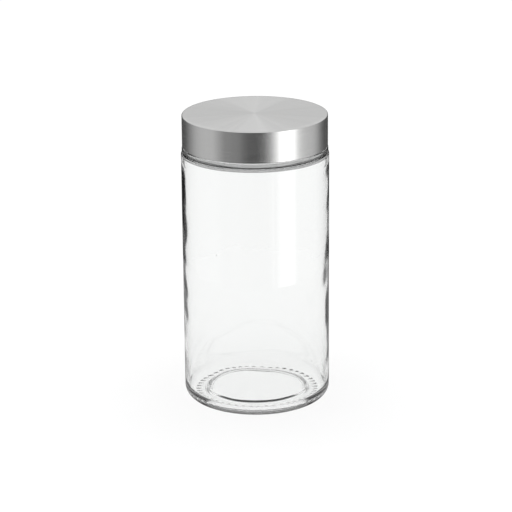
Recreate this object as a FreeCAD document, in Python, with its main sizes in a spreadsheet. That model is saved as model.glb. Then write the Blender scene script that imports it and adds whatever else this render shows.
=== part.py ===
"""Round glass storage jar with a brushed stainless steel twist-off lid.

The jar stands on the plane z = 0 with its axis on Z.  It is made of four pieces:

glass_jar    blown glass: heel, plain wall, collar bead and a neck with four thread ramps
lid_shell    drawn stainless steel cover, its lower edge rolled in under the insert
lid_insert   moulded polypropylene cap inside the shell, with four lugs and a sealing lip
seal_ring    flat silicone ring, kept loosely on the insert's lip above the jar's rim

All lengths are millimetres and all angles are degrees.
"""

import FreeCAD, Part

import math
import os
import re

import Sketcher

# ---------------------------------------------------------------- driving dimensions
SIZES = {
    # overall
    "body_radius": 55.0,  # outside of the plain glass wall
    "overall_height": 220.0,  # table to the top of the lid
    "lid_height": 24.0,  # top of the lid to its lower edge
    # glass body
    "body_wall": 2.4,
    "heel_round": 8.5,  # rounding from the wall to the bearing ring
    "punt_radius": 37.5,  # push-up in the underside, where it meets the bearing ring
    "punt_slope": 3.5,  # width of the slope round the push-up
    "punt_rise": 3.0,  # height of the push-up above the table
    "floor_wall": 4.0,  # glass over the push-up
    "gutter_height": 4.5,  # inner floor round the push-up, above the table
    "gutter_slope": 3.5,  # width of the slope from there up onto the push-up
    "floor_corner": 7.0,  # rounding from the inner wall to the floor
    # shoulder, collar and neck of the glass
    "shoulder_round": 1.6,
    "notch_depth": 1.5,  # groove between the plain wall and the collar
    "notch_height": 0.5,
    "collar_height": 4.4,
    "collar_round": 1.3,
    "collar_proud": 0.3,  # collar beyond the lid's side
    "collar_gap": 0.3,  # collar to the lower edge of the lid
    "throat_height": 11.5,  # inner curve from the wall into the neck
    "throat_above": 3.0,  # its top above the collar
    "neck_wall": 2.7,
    "neck_root_round": 0.8,
    "rim_round": 1.2,
    # thread: ramps on the neck, lugs in the insert
    "starts": 4,
    "ramp_angle": 62.0,
    "ramp_rise": 2.5,
    "ramp_below_rim": 3.6,  # jar's rim to the crest at a ramp's high end
    "crest_width": 0.6,
    "thread_depth": 1.5,
    "thread_gap": 0.4,  # ramp crest to the insert's wall, and lug tip to the neck
    "lug_angle": 12.0,
    "lug_height": 2.5,
    "lug_gap": 0.3,  # lug to the underside of the ramp when closed
    "lug_seat": 8.0,  # low end of a ramp to the middle of the lug when closed
    # lid shell
    "lid_inset": 0.9,  # lid's side inside the glass wall
    "shell_sheet": 0.5,
    "shell_round": 1.1,
    "hem_round": 0.6,
    "hem_width": 1.5,  # edge rolled in under the insert
    # lid insert
    "insert_fit": 0.1,  # insert to the shell, all round
    "insert_wall": 1.35,
    "insert_top": 1.2,
    "lip_gap": 0.8,  # sealing lip to the bore of the neck
    "lip_wall": 1.2,
    "lip_depth": 3.3,
    "bead_proud": 0.4,  # bead that keeps the seal on the lip
    "bead_height": 1.2,
    "ribs": 8,
    "rib_width": 1.0,
    "rib_depth": 2.0,
    "hub_radius": 6.0,
    "hub_wall": 1.2,
    # seal
    "seal_height": 1.5,
    "seal_gap": 0.1,  # above and below the seal
    "seal_lip_gap": 0.2,
    "seal_edge_gap": 0.5,  # seal to the insert's wall
    # how far a lug, rib or ramp reaches into the wall that carries it
    "root": 0.4,
}

doc = FreeCAD.newDocument("canister")
sheet = doc.addObject("Spreadsheet::Sheet", "sizes")
for row, (alias, value) in enumerate(SIZES.items(), start=1):
    sheet.set(f"A{row}", alias)
    sheet.set(f"B{row}", str(value))
    sheet.setAlias(f"B{row}", alias)
doc.recompute()


def bound(text):
    """The expression with each size's name turned into its cell in the sheet."""
    return re.sub(r"[a-z_]+", lambda word: cell_of(word.group()), text)


def cell_of(word):
    return f"sizes.{word}" if word in SIZES else word


def number(text):
    """What an expression comes to with the sheet as it is now."""
    found = sheet.evalExpression(bound(text))
    return float(getattr(found, "Value", found))


# ---------------------------------------------------------------- shared places
# Radii, from the outside of the lid inwards.
LID = "(body_radius - lid_inset)"
SHELL_BORE = f"({LID} - shell_sheet)"
SHELL_BEND = "(shell_round - shell_sheet)"
HEM_BEND = "(hem_round - shell_sheet)"
HEM_BORE = f"({SHELL_BORE} - hem_width)"
INSERT = f"({SHELL_BORE} - insert_fit)"
INSERT_BORE = f"({INSERT} - insert_wall)"
NECK = f"({INSERT_BORE} - thread_gap - thread_depth)"
NECK_BORE = f"({NECK} - neck_wall)"
LIP = f"({NECK_BORE} - lip_gap)"
LIP_BORE = f"({LIP} - lip_wall)"
COLLAR = f"({LID} + collar_proud)"
NOTCH = f"({COLLAR} - notch_depth)"
WALL_BORE = "(body_radius - body_wall)"

# Heights, from the top down.
SHELL_CEILING = "(overall_height - shell_sheet)"
INSERT_TOP = f"({SHELL_CEILING} - insert_fit)"
CEILING = f"({INSERT_TOP} - insert_top)"
LIP_FOOT = f"({CEILING} - lip_depth)"
SEAL_TOP = f"({CEILING} - seal_gap)"
SEAL_FOOT = f"({SEAL_TOP} - seal_height)"
RIM = f"({SEAL_FOOT} - seal_gap)"
RAMP_LOW = f"({RIM} - ramp_below_rim - ramp_rise)"
LUG_TOP = f"({RAMP_LOW} - crest_width / 2 - thread_depth - lug_gap)"
LUG_FOOT = f"({LUG_TOP} - lug_height)"
LID_EDGE = "(overall_height - lid_height)"
INSERT_FOOT = f"({LID_EDGE} + shell_sheet + insert_fit)"
COLLAR_TOP = f"({LID_EDGE} - collar_gap)"
SHOULDER = f"({COLLAR_TOP} - collar_height)"
COLLAR_FOOT = f"({SHOULDER} + notch_height)"
THROAT_TOP = f"({COLLAR_TOP} + throat_above)"
THROAT_FOOT = f"({THROAT_TOP} - throat_height)"


# ---------------------------------------------------------------- sketches and features
def origin_part(body, role):
    return next(f for f in body.Origin.OriginFeatures if f.Role == role)


def new_sketch(body, name):
    """A sketch on the body's XZ plane: its x is a radius and its y is a height."""
    sketch = body.newObject("Sketcher::SketchObject", name)
    sketch.AttachmentSupport = (origin_part(body, "XZ_Plane"), [""])
    sketch.MapMode = "FlatFace"
    return sketch


def pin(sketch, edge, end, kind, text):
    """Ties one coordinate of an edge's end to an expression, or to an axis where it is 0."""
    value = number(text)
    if value == 0:
        axis = -2 if kind == "DistanceX" else -1
        sketch.addConstraint(Sketcher.Constraint("PointOnObject", edge, end, axis))
        return
    place = Sketcher.Constraint(kind, -1, 1, edge, end, value)
    sketch.setExpression(f"Constraints[{sketch.addConstraint(place)}]", bound(text))


def arc_between(start, stop, radius, turn):
    """Arc from start to stop: turn is +1 where it bends left on the way, -1 where right."""
    chord = stop - start
    side = FreeCAD.Vector(-chord.y, chord.x, 0).normalize()
    centre = (start + stop) * 0.5 + side * turn * math.sqrt(radius**2 - chord.Length**2 / 4)
    ends = (start, stop) if turn > 0 else (stop, start)
    angles = [math.atan2(p.y - centre.y, p.x - centre.x) for p in ends]
    return Part.ArcOfCircle(Part.Circle(centre, FreeCAD.Vector(0, 0, 1), radius), *angles)


def draw_outline(sketch, corners):
    """Draws a closed outline.  A corner is (radius, height) where a line follows it, and
    (radius, height, bend, turn) where an arc of that bend follows it."""
    places = [FreeCAD.Vector(number(c[0]), number(c[1]), 0) for c in corners]
    edges = []
    for corner, start, stop in zip(corners, places, places[1:] + places[:1]):
        if len(corner) == 2:
            edges.append((sketch.addGeometry(Part.LineSegment(start, stop)), 1, 2))
            continue
        arc = sketch.addGeometry(arc_between(start, stop, number(corner[2]), corner[3]))
        edges.append((arc, 1, 2) if corner[3] > 0 else (arc, 2, 1))
    for (edge, start, stop), (follower, joint, _) in zip(edges, edges[1:] + edges[:1]):
        sketch.addConstraint(Sketcher.Constraint("Coincident", edge, stop, follower, joint))
    for (edge, start, stop), corner in zip(edges, corners):
        pin(sketch, edge, start, "DistanceX", corner[0])
        pin(sketch, edge, start, "DistanceY", corner[1])
        if len(corner) > 2:
            bend = Sketcher.Constraint("Radius", edge, number(corner[2]))
            sketch.setExpression(f"Constraints[{sketch.addConstraint(bend)}]", bound(corner[2]))


def turned(body, name, corners):
    """A piece turned about Z from its outline."""
    sketch = new_sketch(body, name + "_outline")
    draw_outline(sketch, corners)
    spin = body.newObject("PartDesign::Revolution", name)
    spin.Profile = sketch
    spin.ReferenceAxis = (sketch, ["V_Axis"])
    spin.Angle = 360
    return spin


def repeated(body, name, feature, count):
    """Repeats a feature evenly round Z."""
    ring = body.newObject("PartDesign::PolarPattern", name)
    ring.Originals = [feature]
    ring.Axis = (origin_part(body, "Z_Axis"), [""])
    ring.Angle = 360
    ring.setExpression("Occurrences", bound(count))
    body.Tip = ring


def new_body(name):
    body = doc.addObject("PartDesign::Body", name)
    body.Label = name
    return body


def slope_bend(run, rise):
    """Bend of the two equal arcs of an S-shaped step that starts and ends along its run."""
    return f"((({run})^2 + ({rise})^2) / (4 * ({rise})))"


# ---------------------------------------------------------------- glass jar
def make_glass_jar():
    """The outline goes out along the underside, up the outside, over the rim and down the
    inside to the floor."""
    body = new_body("glass_jar")
    punt_bend = slope_bend("punt_slope", "punt_rise")
    throat_bend = slope_bend("throat_height", f"{WALL_BORE} - {NECK_BORE}")
    gutter_rise = "(punt_rise + floor_wall - gutter_height)"
    gutter_bend = slope_bend("gutter_slope", gutter_rise)
    turned(
        body,
        "jar_wall",
        [
            ("0", "punt_rise"),
            ("punt_radius - punt_slope", "punt_rise", punt_bend, -1),
            ("punt_radius - punt_slope / 2", "punt_rise / 2", punt_bend, 1),
            ("punt_radius", "0"),
            ("body_radius - heel_round", "0", "heel_round", 1),
            ("body_radius", "heel_round"),
            ("body_radius", f"{SHOULDER} - shoulder_round", "shoulder_round", 1),
            ("body_radius - shoulder_round", SHOULDER),
            (NOTCH, SHOULDER),
            (NOTCH, COLLAR_FOOT),
            (f"{COLLAR} - collar_round", COLLAR_FOOT, "collar_round", 1),
            (COLLAR, f"{COLLAR_FOOT} + collar_round"),
            (COLLAR, f"{COLLAR_TOP} - collar_round", "collar_round", 1),
            (f"{COLLAR} - collar_round", COLLAR_TOP),
            (f"{NECK} + neck_root_round", COLLAR_TOP, "neck_root_round", -1),
            (NECK, f"{COLLAR_TOP} + neck_root_round"),
            (NECK, f"{RIM} - rim_round", "rim_round", 1),
            (f"{NECK} - rim_round", RIM),
            (f"{NECK_BORE} + rim_round", RIM, "rim_round", 1),
            (NECK_BORE, f"{RIM} - rim_round"),
            (NECK_BORE, THROAT_TOP, throat_bend, 1),
            (
                f"({NECK_BORE} + {WALL_BORE}) / 2",
                f"({THROAT_TOP} + {THROAT_FOOT}) / 2",
                throat_bend,
                -1,
            ),
            (WALL_BORE, THROAT_FOOT),
            (WALL_BORE, "gutter_height + floor_corner", "floor_corner", -1),
            (f"{WALL_BORE} - floor_corner", "gutter_height"),
            ("punt_radius + gutter_slope / 2", "gutter_height", gutter_bend, -1),
            ("punt_radius", f"gutter_height + {gutter_rise} / 2", gutter_bend, 1),
            ("punt_radius - gutter_slope / 2", "punt_rise + floor_wall"),
            ("0", "punt_rise + floor_wall"),
        ],
    )
    section = new_sketch(body, "ramp_section")
    draw_outline(
        section,
        [
            (f"{NECK} - root", f"{RAMP_LOW} - crest_width / 2 - thread_depth - root"),
            (f"{NECK} + thread_depth", f"{RAMP_LOW} - crest_width / 2"),
            (f"{NECK} + thread_depth", f"{RAMP_LOW} + crest_width / 2"),
            (f"{NECK} - root", f"{RAMP_LOW} + crest_width / 2 + thread_depth + root"),
        ],
    )
    ramp = body.newObject("PartDesign::AdditiveHelix", "ramp")
    ramp.Profile = section
    ramp.ReferenceAxis = (section, ["V_Axis"])
    ramp.Mode = "height-turns-angle"
    ramp.setExpression("Height", bound("ramp_rise"))
    ramp.setExpression("Turns", bound("ramp_angle / 360"))
    repeated(body, "ramps", ramp, "starts")
    return body


# ---------------------------------------------------------------- lid shell
def make_lid_shell():
    """The outline follows the inside of the sheet out and down to the hem, and comes back
    along its outside."""
    body = new_body("lid_shell")
    turned(
        body,
        "shell",
        [
            ("0", SHELL_CEILING),
            (f"{SHELL_BORE} - {SHELL_BEND}", SHELL_CEILING, SHELL_BEND, -1),
            (SHELL_BORE, f"{SHELL_CEILING} - {SHELL_BEND}"),
            (SHELL_BORE, f"{LID_EDGE} + hem_round", HEM_BEND, -1),
            (f"{SHELL_BORE} - {HEM_BEND}", f"{LID_EDGE} + shell_sheet"),
            (HEM_BORE, f"{LID_EDGE} + shell_sheet"),
            (HEM_BORE, LID_EDGE),
            (f"{LID} - hem_round", LID_EDGE, "hem_round", 1),
            (LID, f"{LID_EDGE} + hem_round"),
            (LID, "overall_height - shell_round", "shell_round", 1),
            (f"{LID} - shell_round", "overall_height"),
            ("0", "overall_height"),
        ],
    )
    return body


# ---------------------------------------------------------------- lid insert
def make_lid_insert():
    """The outline goes out along the ceiling, round the hub and the sealing lip, down the
    inside of the wall and back over the outside.  Lugs and ribs are added to it."""
    body = new_body("lid_insert")
    bead_bend = "((bead_proud^2 + bead_height^2 / 4) / (2 * bead_proud))"
    turned(
        body,
        "cap",
        [
            ("0", CEILING),
            ("hub_radius - hub_wall", CEILING),
            ("hub_radius - hub_wall", f"{CEILING} - rib_depth"),
            ("hub_radius", f"{CEILING} - rib_depth"),
            ("hub_radius", CEILING),
            (LIP_BORE, CEILING),
            (LIP_BORE, LIP_FOOT),
            (LIP, LIP_FOOT, bead_bend, 1),
            (LIP, f"{LIP_FOOT} + bead_height"),
            (LIP, CEILING),
            (INSERT_BORE, CEILING),
            (INSERT_BORE, INSERT_FOOT),
            (f"{INSERT} - {SHELL_BEND}", INSERT_FOOT, SHELL_BEND, 1),
            (INSERT, f"{INSERT_FOOT} + {SHELL_BEND}"),
            (INSERT, f"{INSERT_TOP} - {SHELL_BEND}", SHELL_BEND, 1),
            (f"{INSERT} - {SHELL_BEND}", INSERT_TOP),
            ("0", INSERT_TOP),
        ],
    )
    rib_side = new_sketch(body, "rib_side")
    draw_outline(
        rib_side,
        [
            ("hub_radius - root", f"{CEILING} - rib_depth"),
            (f"{LIP_BORE} + root", f"{CEILING} - rib_depth"),
            (f"{LIP_BORE} + root", f"{CEILING} + root"),
            ("hub_radius - root", f"{CEILING} + root"),
        ],
    )
    rib = body.newObject("PartDesign::Pad", "rib")
    rib.Profile = rib_side
    rib.SideType = "Symmetric"
    rib.setExpression("Length", bound("rib_width"))
    repeated(body, "ribs", rib, "ribs")
    lug_section = new_sketch(body, "lug_section")
    draw_outline(
        lug_section,
        [
            (f"{NECK} + thread_gap", LUG_FOOT),
            (f"{INSERT_BORE} + root", LUG_FOOT),
            (f"{INSERT_BORE} + root", LUG_TOP),
            (f"{NECK} + thread_gap", LUG_TOP),
        ],
    )
    lug = body.newObject("PartDesign::Revolution", "lug")
    lug.Profile = lug_section
    lug.ReferenceAxis = (lug_section, ["V_Axis"])
    lug.Midplane = True
    lug.setExpression("Angle", bound("lug_angle"))
    repeated(body, "lugs", lug, "starts")
    body.Placement.Rotation = FreeCAD.Rotation(FreeCAD.Vector(0, 0, 1), number("lug_seat"))
    body.setExpression(".Placement.Rotation.Angle", bound("lug_seat"))
    return body


# ---------------------------------------------------------------- seal ring
def make_seal_ring():
    body = new_body("seal_ring")
    turned(
        body,
        "ring",
        [
            (f"{LIP} + seal_lip_gap", SEAL_FOOT),
            (f"{INSERT_BORE} - seal_edge_gap", SEAL_FOOT),
            (f"{INSERT_BORE} - seal_edge_gap", SEAL_TOP),
            (f"{LIP} + seal_lip_gap", SEAL_TOP),
        ],
    )
    return body


# ---------------------------------------------------------------- build, check and export
pieces = [make_glass_jar(), make_lid_shell(), make_lid_insert(), make_seal_ring()]
doc.recompute()
for item in doc.Objects:
    if {"Invalid", "Error"} & set(item.State):
        raise SystemExit(f"{item.Label} failed: {item.State}")
for piece in pieces:
    if piece.Shape.isNull() or not piece.Shape.isValid():
        raise SystemExit(f"{piece.Label} has no valid shape")
    if len(piece.Shape.Solids) != 1:
        raise SystemExit(f"{piece.Label} is {len(piece.Shape.Solids)} solids, not one")

os.makedirs("parts", exist_ok=True)
for piece in pieces:
    piece.Shape.exportStep(f"parts/{piece.Label}.step")
    box = piece.Shape.BoundBox
    print(f"{piece.Label}: {piece.Shape.Volume / 1000:.2f} cm3, z {box.ZMin:.2f} to {box.ZMax:.2f}")
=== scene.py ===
"""Looks of a round glass storage jar with a brushed stainless steel twist-off lid.

The jar stands on z = 0 with its axis on Z.  Lengths are metres."""

import math

import bmesh
import bpy
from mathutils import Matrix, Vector


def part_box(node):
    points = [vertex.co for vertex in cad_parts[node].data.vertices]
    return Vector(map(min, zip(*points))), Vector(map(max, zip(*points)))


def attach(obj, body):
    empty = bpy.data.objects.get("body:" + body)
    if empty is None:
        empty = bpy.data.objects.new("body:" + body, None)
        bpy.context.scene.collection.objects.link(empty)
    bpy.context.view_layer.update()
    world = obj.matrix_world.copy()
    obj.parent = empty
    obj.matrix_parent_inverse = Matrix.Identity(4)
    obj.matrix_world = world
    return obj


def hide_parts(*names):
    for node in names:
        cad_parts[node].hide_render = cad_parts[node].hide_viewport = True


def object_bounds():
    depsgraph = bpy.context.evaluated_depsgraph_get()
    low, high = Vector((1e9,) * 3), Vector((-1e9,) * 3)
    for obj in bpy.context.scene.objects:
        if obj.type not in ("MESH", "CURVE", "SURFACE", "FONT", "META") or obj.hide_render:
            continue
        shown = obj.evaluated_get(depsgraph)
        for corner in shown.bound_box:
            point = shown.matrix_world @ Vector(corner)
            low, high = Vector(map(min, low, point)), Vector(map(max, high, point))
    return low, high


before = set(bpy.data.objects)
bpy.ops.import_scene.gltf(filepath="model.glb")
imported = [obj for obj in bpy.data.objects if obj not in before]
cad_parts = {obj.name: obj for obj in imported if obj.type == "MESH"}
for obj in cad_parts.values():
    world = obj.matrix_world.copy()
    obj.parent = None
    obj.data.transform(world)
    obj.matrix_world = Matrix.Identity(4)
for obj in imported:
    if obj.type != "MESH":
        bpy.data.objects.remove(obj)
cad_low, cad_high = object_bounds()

MM = 0.001

# ---------------------------------------------------------------- camera
# A long lens, about 1.6 m away and 18 degrees above the horizon, level but for a
# slight lean, looks at the middle of the jar.
middle = (cad_low + cad_high) / 2
camera_distance = 1.636
camera_rise = math.radians(17.95)
camera_lean = math.radians(-0.53)
backwards = Vector((0, -math.cos(camera_rise), math.sin(camera_rise)))
bpy.ops.object.camera_add(location=middle + backwards * camera_distance)
camera = bpy.context.object
camera.rotation_euler = (math.pi / 2 - camera_rise, 0, 0)
camera.rotation_euler.rotate_axis("Z", camera_lean)
camera.data.sensor_width = 36
camera.data.lens = 152.7
camera.data.shift_y = -0.002
camera.data.clip_end = 50
bpy.context.scene.camera = camera


# ---------------------------------------------------------------- glass jar
# One piece of clear glass: bearing ring with a stippled edge, push-up, heel, wall,
# collar bead and neck.  It is blown in a mould, so the outside is true and the inside
# of the wall wanders a little.
def deselect():
    bpy.ops.object.select_all(action="DESELECT")


def pick(piece, kind, test):
    """In edit mode, selects only the verts, edges or faces that pass the test."""
    bpy.ops.mesh.select_all(action="DESELECT")
    mesh = bmesh.from_edit_mesh(piece.data)
    for item in getattr(mesh, kind):
        if test(item):
            item.select_set(True)
    mesh.select_flush_mode()
    bmesh.update_edit_mesh(piece.data)


def outlined(name, corners, row, closed):
    """Draws an outline in the XZ plane and leaves it in edit mode.  A corner is (radius,
    height), or (radius, height, bend) where the corner is rounded over that length of each
    side.  Sides longer than row are divided."""
    deselect()
    start = Vector((corners[0][0], 0, corners[0][1]))
    bpy.ops.mesh.primitive_plane_add(size=MM, location=start)
    piece = bpy.context.object
    piece.name = piece.data.name = name
    bpy.ops.object.transform_apply(location=True)
    bpy.ops.object.mode_set(mode="EDIT")
    bpy.ops.mesh.select_mode(type="VERT")
    bpy.ops.mesh.merge(type="CENTER")
    at = start
    for corner in corners[1:]:
        there = Vector((corner[0], 0, corner[1]))
        bpy.ops.mesh.extrude_region_move(TRANSFORM_OT_translate={"value": there - at})
        at = there
    if closed:
        ends = (start, at)
        pick(piece, "verts", lambda v: min((v.co - e).length for e in ends) < MM / 1000)
        bpy.ops.mesh.edge_face_add()
    for corner in corners:
        if len(corner) > 2:
            spot = Vector((corner[0], 0, corner[1]))
            pick(piece, "verts", lambda v: (v.co - spot).length < MM / 1000)
            bpy.ops.mesh.bevel(offset=corner[2], segments=8, affect="VERTICES")
    mesh = bmesh.from_edit_mesh(piece.data)
    while max(e.calc_length() for e in mesh.edges) > row:
        pick(piece, "edges", lambda e: e.calc_length() > row)
        bpy.ops.mesh.subdivide(number_cuts=1)
        mesh = bmesh.from_edit_mesh(piece.data)
    bpy.ops.mesh.select_all(action="SELECT")
    return piece


def turned(name, corners, steps, row=2.5 * MM, closed=False):
    """Turns an outline once round Z and closes it."""
    piece = outlined(name, corners, row, closed)
    bpy.ops.mesh.spin(steps=steps, angle=math.tau, center=(0, 0, 0), axis=(0, 0, 1))
    bpy.ops.mesh.select_all(action="SELECT")
    bpy.ops.mesh.remove_doubles(threshold=MM / 200)
    bpy.ops.mesh.normals_make_consistent(inside=False)
    bpy.ops.object.mode_set(mode="OBJECT")
    bpy.ops.object.shade_smooth_by_angle(angle=math.radians(40))
    return piece


jar_low, jar_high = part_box("glass_jar")
body_radius = jar_high.x
rim_top = jar_high.z
lid_low, lid_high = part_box("lid_shell")
collar_radius = lid_high.x + 0.3 * MM
collar_top = lid_low.z - 0.3 * MM
shoulder = collar_top - 4.4 * MM
collar_foot = shoulder + 0.5 * MM
neck_radius = 50.25 * MM
neck_bore = 47.55 * MM
wall_bore = body_radius - 2.4 * MM
floor_top = 4.5 * MM
punt_edge = 37.5 * MM
punt_top = 3 * MM
punt_wall = 4 * MM
ramp_angle = 62
ramp_rise = 2.5 * MM
ramp_low = rim_top - 6.1 * MM

jar = turned(
    "glass_jar_detail",
    [
        (0, punt_top),
        (punt_edge - 2.5 * MM, punt_top, 1.5 * MM),
        (punt_edge, 0, 0.8 * MM),
        (body_radius, 0, 8.5 * MM),
        (body_radius, shoulder, 1.6 * MM),
        (collar_radius - 1.5 * MM, shoulder, 0.4 * MM),
        (collar_radius - 1.5 * MM, collar_foot, 0.1 * MM),
        (collar_radius, collar_foot, 1.35 * MM),
        (collar_radius, collar_top, 1.6 * MM),
        (neck_radius, collar_top, 0.8 * MM),
        (neck_radius, rim_top, 1.2 * MM),
        (neck_bore, rim_top, 1.2 * MM),
        (neck_bore, collar_top + 3 * MM, 4 * MM),
        (wall_bore, shoulder - 3 * MM, 5 * MM),
        (wall_bore, floor_top, 7 * MM),
        (punt_edge + 2 * MM, floor_top, 1 * MM),
        (punt_edge - 0.5 * MM, punt_top + punt_wall, 1 * MM),
        (0, punt_top + punt_wall),
    ],
    steps=240,
    row=4 * MM,
)

# Short ribs pressed into the bearing ring keep it from sticking to a wet shelf.
rib_pitch = math.tau / 48


def on_rib(face):
    centre = face.calc_center_median()
    across = math.hypot(centre.x, centre.y)
    past_last_rib = math.atan2(centre.y, centre.x) % rib_pitch
    underneath = centre.z < 1.6 * MM and face.normal.z < -0.5
    return underneath and 44.4 * MM < across < 46.9 * MM and past_last_rib < rib_pitch / 3


bpy.ops.object.mode_set(mode="EDIT")
bpy.ops.mesh.select_mode(type="FACE")
pick(jar, "faces", on_rib)
bpy.ops.mesh.inset(thickness=0.15 * MM, depth=-0.45 * MM)
bpy.ops.object.mode_set(mode="OBJECT")

# Four short thread ramps stand on the neck.  Each climbs as it goes round, and fades out
# at its ends.
ramp = outlined(
    "thread_ramp",
    [
        (neck_radius - 0.4 * MM, ramp_low - 2.2 * MM),
        (neck_radius + 1.5 * MM, ramp_low - 0.3 * MM, 0.3 * MM),
        (neck_radius + 1.5 * MM, ramp_low + 0.3 * MM, 0.25 * MM),
        (neck_radius - 0.4 * MM, ramp_low + 2.2 * MM),
    ],
    row=2.5 * MM,
    closed=True,
)
bpy.ops.object.mode_set(mode="OBJECT")
climb = ramp.modifiers.new("climb", "SCREW")
climb.angle = math.radians(ramp_angle)
climb.screw_offset = ramp_rise
climb.steps = climb.render_steps = ramp_angle // 2
bpy.ops.object.modifier_apply(modifier="climb")


def stands_at(vert, heading):
    return abs(math.degrees(math.atan2(vert.co.y, vert.co.x)) - heading) < 0.5


bpy.ops.object.mode_set(mode="EDIT")
for degrees, shrink in ((0, 0.972), (2, 0.981), (4, 0.989), (6, 0.995)):
    for heading in (degrees, ramp_angle - degrees):
        pick(
            ramp,
            "verts",
            lambda v: stands_at(v, heading) and math.hypot(v.co.x, v.co.y) > neck_radius,
        )
        bpy.ops.transform.resize(value=(shrink, shrink, 1), center_override=(0, 0, 0))
for heading in (0, ramp_angle):
    pick(ramp, "edges", lambda e: all(stands_at(v, heading) for v in e.verts))
    bpy.ops.mesh.edge_face_add()
bpy.ops.mesh.select_all(action="SELECT")
bpy.ops.mesh.normals_make_consistent(inside=False)
bpy.ops.mesh.select_all(action="SELECT")
for copy in range(3):
    bpy.ops.mesh.duplicate()
    bpy.ops.transform.rotate(value=math.pi / 2, orient_axis="Z", center_override=(0, 0, 0))
bpy.ops.object.mode_set(mode="OBJECT")
bpy.ops.object.shade_smooth_by_angle(angle=math.radians(40))
deselect()
jar.select_set(True)
bpy.context.view_layer.objects.active = jar
threads = jar.modifiers.new("threads", "BOOLEAN")
threads.operation = "UNION"
threads.object = ramp
bpy.ops.object.modifier_apply(modifier="threads")
bpy.data.objects.remove(ramp)

# The inside of the wall wanders by about half a millimetre, less towards its ends.
inside = jar.vertex_groups.new(name="inside of wall")
for vert in jar.data.vertices:
    across = math.hypot(vert.co.x, vert.co.y)
    from_ends = min(vert.co.z - floor_top, shoulder - vert.co.z) / (12 * MM)
    if across < body_radius - 1.5 * MM and from_ends > 0 and across > wall_bore - 6 * MM:
        inside.add([vert.index], min(1, from_ends), "REPLACE")
ripple = bpy.data.textures.new("wall_ripple", "CLOUDS")
ripple.noise_scale = 30 * MM
ripple.noise_depth = 1
wander = jar.modifiers.new("wander", "DISPLACE")
wander.texture = ripple
wander.strength = 0.55 * MM
wander.vertex_group = "inside of wall"
bpy.ops.object.modifier_apply(modifier="wander")

# A few seeds, the tiny bubbles of air that furnace glass keeps, sit inside the wall.
for seed_at in ((40.3, -35.6, 37.9), (-31, 43.9, 96), (-50.4, -18.6, 141)):
    deselect()
    bpy.ops.mesh.primitive_uv_sphere_add(
        segments=12, ring_count=8, radius=0.4 * MM, location=Vector(seed_at) * MM
    )
    bpy.ops.object.transform_apply(location=True)
    bpy.ops.object.shade_smooth()
    bpy.ops.object.mode_set(mode="EDIT")
    bpy.ops.mesh.select_all(action="SELECT")
    bpy.ops.mesh.flip_normals()
    bpy.ops.object.mode_set(mode="OBJECT")
    jar.select_set(True)
    bpy.context.view_layer.objects.active = jar
    bpy.ops.object.join()


def glass_with_edge_shade(name, edge, starts=0.72, ends=0.9, body=0.963, only=None):
    """Clear glass that lets soft light through.  body is its colour where it is seen square
    on, and edge is painted shade: a darker colour where it is seen along its surface, between
    the angles starts and ends, for the dark edges that bent light gives glass.
    With only="out" or only="in", edge is for light on its way out of the glass or into it."""
    glass = bpy.data.materials.new(name)
    glass.use_nodes = True
    nodes, links = glass.node_tree.nodes, glass.node_tree.links
    surface = nodes["Principled BSDF"]
    surface.inputs["Roughness"].default_value = 0.0
    surface.inputs["IOR"].default_value = 1.5
    surface.inputs["Transmission Weight"].default_value = 1.0
    # Painted shade: the colour goes from body to the darker edge as the surface turns edge-on.
    facing = nodes.new("ShaderNodeLayerWeight")
    facing.inputs["Blend"].default_value = 0.5
    tint_and_edge_shade = nodes.new("ShaderNodeValToRGB")
    tint_and_edge_shade.color_ramp.elements[0].position = starts
    tint_and_edge_shade.color_ramp.elements[0].color = (body * 0.998, body * 1.003, body, 1)
    tint_and_edge_shade.color_ramp.elements[1].position = ends
    tint_and_edge_shade.color_ramp.elements[1].color = (edge, edge, edge, 1)
    if only:
        side = nodes.new("ShaderNodeNewGeometry")
        chosen = nodes.new("ShaderNodeMapRange")
        chosen.inputs["To Min"].default_value = 1 if only == "in" else 0
        chosen.inputs["To Max"].default_value = 0 if only == "in" else 1
        links.new(side.outputs["Backfacing"], chosen.inputs["Value"])
        one_way = nodes.new("ShaderNodeMath")
        one_way.operation = "MULTIPLY"
        links.new(chosen.outputs["Result"], one_way.inputs[0])
        links.new(facing.outputs["Facing"], one_way.inputs[1])
        links.new(one_way.outputs["Value"], tint_and_edge_shade.inputs["Fac"])
    else:
        links.new(facing.outputs["Facing"], tint_and_edge_shade.inputs["Fac"])
    links.new(tint_and_edge_shade.outputs["Color"], surface.inputs["Base Color"])
    clear = nodes.new("ShaderNodeBsdfTransparent")
    clear.inputs["Color"].default_value = (1, 1, 1, 1)
    ray = nodes.new("ShaderNodeLightPath")
    passing = nodes.new("ShaderNodeMath")
    links.new(ray.outputs["Is Shadow Ray"], passing.inputs[0])
    links.new(ray.outputs["Is Diffuse Ray"], passing.inputs[1])
    mix = nodes.new("ShaderNodeMixShader")
    links.new(passing.outputs["Value"], mix.inputs["Fac"])
    links.new(surface.outputs["BSDF"], mix.inputs[1])
    links.new(clear.outputs["BSDF"], mix.inputs[2])
    links.new(mix.outputs["Shader"], nodes["Material Output"].inputs["Surface"])
    return glass


def wall_side(face):
    """Above nought on the outside of the wall and below it on the inside."""
    return face.normal.xy.dot(face.calc_center_median().xy)


def on_inner_wall(face):
    height = face.calc_center_median().z
    return floor_top + 8 * MM < height < shoulder - 9 * MM and wall_side(face) < 0


def on_heel(face):
    centre = face.calc_center_median()
    across = math.hypot(centre.x, centre.y)
    return centre.z < 5 * MM and across > body_radius - 4.5 * MM and wall_side(face) > 0


def on_collar(face):
    height = face.calc_center_median().z
    return shoulder - 1.6 * MM < height < collar_top - 0.1 * MM and wall_side(face) > 0


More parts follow.
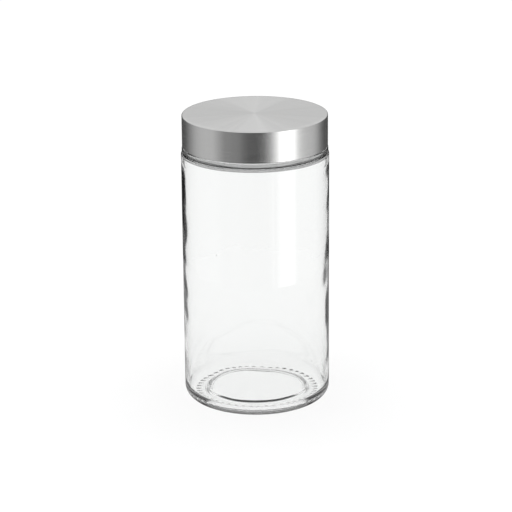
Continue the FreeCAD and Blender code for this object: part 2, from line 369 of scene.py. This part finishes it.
# Painted shade in the glass: the outside goes nearly black where it is seen edge-on, drawing
# dark lines down the jar's sides; the inside of the wall darkens a little edge-on; the heel goes
# dark grey; the collar bead is tinted to a fifth and the ribs to about two fifths, grey that
# stands in for the dark seen through them.
jar.data.materials.append(glass_with_edge_shade("jar_glass_outside_edge_shade", 0.03, 0.232, 0.24, only="out"))
bpy.ops.object.mode_set(mode="EDIT")
bpy.ops.mesh.select_mode(type="FACE")
for glass, place in (
    (glass_with_edge_shade("jar_glass_inside_edge_shade", 0.9), on_inner_wall),
    (glass_with_edge_shade("jar_glass_heel_painted_shade", 0.12, 0.04, 0.2, only="in"), on_heel),
    (glass_with_edge_shade("jar_glass_collar_painted_shade", 0.06, 0.5, 0.95, 0.2), on_collar),
    (glass_with_edge_shade("jar_glass_ribs_painted_shade", 0.2, 0.5, 0.9, 0.42), on_rib),
):
    jar.data.materials.append(glass)
    pick(jar, "faces", place)
    jar.active_material_index = len(jar.data.materials) - 1
    bpy.ops.object.material_slot_assign()
bpy.ops.object.mode_set(mode="OBJECT")
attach(jar, "jar")
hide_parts("glass_jar")


# ---------------------------------------------------------------- lid shell
# Drawn from half-millimetre stainless sheet, spun against an abrasive so that fine
# lines run round it, with its lower edge rolled in under the insert.
lid_radius = lid_high.x
sheet = 0.5 * MM
shell_bore = lid_radius - sheet
hem_bore = shell_bore - 1.5 * MM
shell = turned(
    "lid_shell_detail",
    [
        (0, lid_high.z - sheet),
        (shell_bore, lid_high.z - sheet, 0.7 * MM),
        (shell_bore, lid_low.z + sheet, 0.15 * MM),
        (hem_bore, lid_low.z + sheet, 0.1 * MM),
        (hem_bore, lid_low.z, 0.1 * MM),
        (lid_radius, lid_low.z, 0.6 * MM),
        (lid_radius, lid_high.z, 1.1 * MM),
        (0, lid_high.z),
    ],
    steps=256,
)


def spun_lines():
    """Fine lines that run round Z, as brushing on a lathe leaves them: long streaks round
    the axis, close together along the radius and the height.  Rays are broad, faint lighter
    and darker sectors round the axis, painted sheen for the streaks of reflected light."""
    group = bpy.data.node_groups.new("spun_lines", "ShaderNodeTree")
    group.interface.new_socket("Place", in_out="INPUT", socket_type="NodeSocketVector")
    group.interface.new_socket("Lines", in_out="OUTPUT", socket_type="NodeSocketFloat")
    group.interface.new_socket("Rays", in_out="OUTPUT", socket_type="NodeSocketFloat")
    nodes, links = group.nodes, group.links
    enter, leave = nodes.new("NodeGroupInput"), nodes.new("NodeGroupOutput")
    split = nodes.new("ShaderNodeSeparateXYZ")
    links.new(enter.outputs["Place"], split.inputs["Vector"])
    flat = nodes.new("ShaderNodeCombineXYZ")
    links.new(split.outputs["X"], flat.inputs["X"])
    links.new(split.outputs["Y"], flat.inputs["Y"])
    out = nodes.new("ShaderNodeVectorMath")
    out.operation = "LENGTH"
    links.new(flat.outputs["Vector"], out.inputs[0])
    heading = nodes.new("ShaderNodeVectorMath")
    heading.operation = "NORMALIZE"
    links.new(flat.outputs["Vector"], heading.inputs[0])
    across = nodes.new("ShaderNodeMath")
    across.operation = "SUBTRACT"
    links.new(out.outputs["Value"], across.inputs[0])
    links.new(split.outputs["Z"], across.inputs[1])
    streaks = nodes.new("ShaderNodeVectorMath")
    streaks.operation = "SCALE"
    streaks.inputs["Scale"].default_value = 2.5
    links.new(heading.outputs["Vector"], streaks.inputs[0])
    close = nodes.new("ShaderNodeMath")
    close.operation = "MULTIPLY"
    close.inputs[1].default_value = 3500
    links.new(across.outputs["Value"], close.inputs[0])
    joined = nodes.new("ShaderNodeCombineXYZ")
    links.new(close.outputs["Value"], joined.inputs["Z"])
    place = nodes.new("ShaderNodeVectorMath")
    links.new(streaks.outputs["Vector"], place.inputs[0])
    links.new(joined.outputs["Vector"], place.inputs[1])
    lines = nodes.new("ShaderNodeTexNoise")
    lines.inputs["Scale"].default_value = 1
    lines.inputs["Detail"].default_value = 3
    links.new(place.outputs["Vector"], lines.inputs["Vector"])
    links.new(lines.outputs["Fac"], leave.inputs["Lines"])
    sheen_rays = nodes.new("ShaderNodeTexNoise")
    sheen_rays.inputs["Scale"].default_value = 4
    sheen_rays.inputs["Detail"].default_value = 4
    sheen_rays.inputs["Roughness"].default_value = 0.7
    links.new(heading.outputs["Vector"], sheen_rays.inputs["Vector"])
    links.new(sheen_rays.outputs["Fac"], leave.inputs["Rays"])
    return group


steel = bpy.data.materials.new("lid_steel_spun")
steel.use_nodes = True
nodes, links = steel.node_tree.nodes, steel.node_tree.links
surface = nodes["Principled BSDF"]
surface.inputs["Metallic"].default_value = 1.0
surface.inputs["Anisotropic"].default_value = 0.85
spun = nodes.new("ShaderNodeGroup")
spun.node_tree = spun_lines()
place = nodes.new("ShaderNodeTexCoord")
links.new(place.outputs["Object"], spun.inputs["Place"])
rough = nodes.new("ShaderNodeMapRange")
rough.inputs["To Min"].default_value = 0.15
rough.inputs["To Max"].default_value = 0.27
links.new(spun.outputs["Lines"], rough.inputs["Value"])
links.new(rough.outputs["Result"], surface.inputs["Roughness"])
shade = nodes.new("ShaderNodeValToRGB")
shade.color_ramp.elements[0].color = (0.66, 0.66, 0.655, 1)
shade.color_ramp.elements[1].color = (0.78, 0.78, 0.775, 1)
links.new(spun.outputs["Lines"], shade.inputs["Fac"])
# Painted sheen: broad sectors round the axis make the colour up to a twentieth lighter and
# darker, for the radial streaks of reflected light.
sector = nodes.new("ShaderNodeMapRange")
sector.inputs["From Min"].default_value = 0.3
sector.inputs["From Max"].default_value = 0.7
sector.inputs["To Min"].default_value = 0.95
sector.inputs["To Max"].default_value = 1.05
links.new(spun.outputs["Rays"], sector.inputs["Value"])
uneven = nodes.new("ShaderNodeVectorMath")
uneven.operation = "SCALE"
links.new(shade.outputs["Color"], uneven.inputs[0])
links.new(sector.outputs["Result"], uneven.inputs["Scale"])
links.new(uneven.outputs["Vector"], surface.inputs["Base Color"])
scratch = nodes.new("ShaderNodeBump")
scratch.inputs["Distance"].default_value = 0.004 * MM
scratch.inputs["Strength"].default_value = 0.6
links.new(spun.outputs["Lines"], scratch.inputs["Height"])
links.new(scratch.outputs["Normal"], surface.inputs["Normal"])
around = nodes.new("ShaderNodeTangent")
around.direction_type = "RADIAL"
around.axis = "Z"
links.new(around.outputs["Tangent"], surface.inputs["Tangent"])
shell.data.materials.append(steel)
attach(shell, "lid")
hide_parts("lid_shell")

# ---------------------------------------------------------------- lid insert and seal ring
# The cap inside the shell is moulded in grey polypropylene, its four lugs with it; its grey
# is painted darker as shade inside the closed lid.  The seal is a ring of clear grey
# silicone, loose on the cap's lip.
def moulded(name, colour, rough, grain):
    """A moulded or cast soft material: a little uneven in colour, with a fine grain."""
    made = bpy.data.materials.new(name)
    made.use_nodes = True
    nodes, links = made.node_tree.nodes, made.node_tree.links
    surface = nodes["Principled BSDF"]
    place = nodes.new("ShaderNodeTexCoord")
    cloud = nodes.new("ShaderNodeTexNoise")
    cloud.inputs["Scale"].default_value = 90
    links.new(place.outputs["Object"], cloud.inputs["Vector"])
    shade = nodes.new("ShaderNodeValToRGB")
    shade.color_ramp.elements[0].color = (*[c * 0.88 for c in colour], 1)
    shade.color_ramp.elements[1].color = (*colour, 1)
    links.new(cloud.outputs["Fac"], shade.inputs["Fac"])
    links.new(shade.outputs["Color"], surface.inputs["Base Color"])
    surface.inputs["Roughness"].default_value = rough
    fine = nodes.new("ShaderNodeTexNoise")
    fine.inputs["Scale"].default_value = 2500
    links.new(place.outputs["Object"], fine.inputs["Vector"])
    bump = nodes.new("ShaderNodeBump")
    bump.inputs["Distance"].default_value = grain
    bump.inputs["Strength"].default_value = 0.4
    links.new(fine.outputs["Fac"], bump.inputs["Height"])
    links.new(bump.outputs["Normal"], surface.inputs["Normal"])
    return made


def wear(node, material):
    """Gives a node that stays its own material, in every slot it has."""
    for place in node.material_slots:
        place.material = material


# Painted shade: the cap's grey is set at 0.2, darker than its own grey, for the shade inside the
# closed lid.
polypropylene = moulded("insert_polypropylene_painted_shade", (0.2, 0.2, 0.2), 0.45, 0.02 * MM)
wear(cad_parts["lid_insert"], polypropylene)
seal_low, seal_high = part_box("seal_ring")
seal_bore = 46.95 * MM
seal = turned(
    "seal_ring_detail",
    [
        (seal_bore, seal_low.z, 0.2 * MM),
        (seal_high.x, seal_low.z, 0.3 * MM),
        (seal_high.x, seal_high.z, 0.3 * MM),
        (seal_bore, seal_high.z, 0.2 * MM),
    ],
    steps=192,
    closed=True,
)
seal.data.materials.append(moulded("seal_silicone_clear", (0.62, 0.63, 0.62), 0.35, 0.01 * MM))
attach(seal, "seal")
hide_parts("seal_ring")

# ---------------------------------------------------------------- floor and studio light
# A plain white floor in a white room.  What shines sees the studio round the camera: a
# bright box on the right, a paler wall on each side and dark behind and in front.
bpy.ops.mesh.primitive_circle_add(vertices=128, radius=0.35, fill_type="NGON")
floor = bpy.context.object
floor.name = "studio_floor"
paper = bpy.data.materials.new("studio_paper")
paper.use_nodes = True
# Painted shade: what shines sees the paper darker, 0.3 in place of 0.87, as if the lamps were
# kept off its far part.
nodes, links = paper.node_tree.nodes, paper.node_tree.links
ray = nodes.new("ShaderNodeLightPath")
mirrored = nodes.new("ShaderNodeMath")
mirrored.operation = "SUBTRACT"
links.new(ray.outputs["Is Glossy Ray"], mirrored.inputs[0])
links.new(ray.outputs["Is Transmission Ray"], mirrored.inputs[1])
paper_and_mirrored_shade = nodes.new("ShaderNodeMix")
paper_and_mirrored_shade.data_type = "RGBA"
paper_and_mirrored_shade.inputs["A"].default_value = (0.87, 0.87, 0.87, 1)
paper_and_mirrored_shade.inputs["B"].default_value = (0.3, 0.3, 0.3, 1)
links.new(mirrored.outputs["Value"], paper_and_mirrored_shade.inputs["Factor"])
links.new(paper_and_mirrored_shade.outputs["Result"], nodes["Principled BSDF"].inputs["Base Color"])
paper.node_tree.nodes["Principled BSDF"].inputs["Roughness"].default_value = 1.0
paper.node_tree.nodes["Principled BSDF"].inputs["Specular IOR Level"].default_value = 0.0
floor.data.materials.append(paper)

bpy.ops.object.light_add(type="AREA", location=(0, 0.1, 1.8))
top_box = bpy.context.object
top_box.name = "top_box"
top_box.data.size = 1.6
top_box.data.energy = 7
top_box.visible_camera = False
top_box.visible_glossy = False

world = bpy.data.worlds.new("studio_room")
world.use_nodes = True
bpy.context.scene.world = world
nodes, links = world.node_tree.nodes, world.node_tree.links


def room_sum(operation, first, second):
    node = nodes.new("ShaderNodeMath")
    node.operation = operation
    for socket, value in zip(node.inputs, (first, second)):
        if isinstance(value, (int, float)):
            socket.default_value = value
        else:
            links.new(value, socket)
    return node.outputs["Value"]


way = nodes.new("ShaderNodeTexCoord")
split = nodes.new("ShaderNodeSeparateXYZ")
links.new(way.outputs["Generated"], split.inputs["Vector"])
towards_camera = room_sum("MULTIPLY", split.outputs["Y"], -1)
turn = room_sum("ARCTAN2", split.outputs["X"], towards_camera)
share = room_sum("ADD", room_sum("DIVIDE", turn, math.tau), 0.5)
# Brightness all the way round, from behind the jar by its left, front and right.
walls = nodes.new("ShaderNodeValToRGB")
ROUND = [
    (-180, 0.05), (-138, 0.05), (-120, 0.30), (-96, 0.58), (-62, 0.58), (-52, 0.26),
    (-46, 0.20), (-40, 0.28), (-27, 0.28), (-14, 0.10), (0, 0.06), (18, 0.07), (22, 0.30),
    (25, 0.30), (26, 0.9), (28, 0.9), (29, 0.33), (31, 0.33), (35, 1.2), (40, 2.2), (62, 2.2),
    (67, 0.8), (74, 0.58), (107, 0.60), (122, 0.20), (134, 0.05), (180, 0.05),
]
ramp = walls.color_ramp
for place, bright in ROUND[1:-1]:
    ramp.elements.new((place + 180) / 360)
for element, (place, bright) in zip(ramp.elements, ROUND):
    element.position = (place + 180) / 360
    element.color = (bright, bright, bright, 1)
links.new(share, walls.inputs["Fac"])
ceiling = nodes.new("ShaderNodeMapRange")
ceiling.inputs["From Min"].default_value = 0.08
ceiling.inputs["From Max"].default_value = 0.22
links.new(split.outputs["Z"], ceiling.inputs["Value"])
shine = nodes.new("ShaderNodeMix")
shine.data_type = "RGBA"
shine.inputs["B"].default_value = (0.8, 0.8, 0.8, 1)
links.new(ceiling.outputs["Result"], shine.inputs["Factor"])
links.new(walls.outputs["Color"], shine.inputs["A"])
ray = nodes.new("ShaderNodeLightPath")
room = nodes.new("ShaderNodeMix")
room.data_type = "RGBA"
room.inputs["A"].default_value = (1.04, 1.04, 1.04, 1)
mirrored = room_sum("SUBTRACT", ray.outputs["Is Glossy Ray"], ray.outputs["Is Transmission Ray"])
links.new(mirrored, room.inputs["Factor"])
links.new(shine.outputs["Result"], room.inputs["B"])
links.new(room.outputs["Result"], nodes["Background"].inputs["Color"])
bpy.context.scene.view_settings.view_transform = "Standard"
bpy.context.scene.cycles.max_bounces = 20
bpy.context.scene.cycles.transmission_bounces = 20
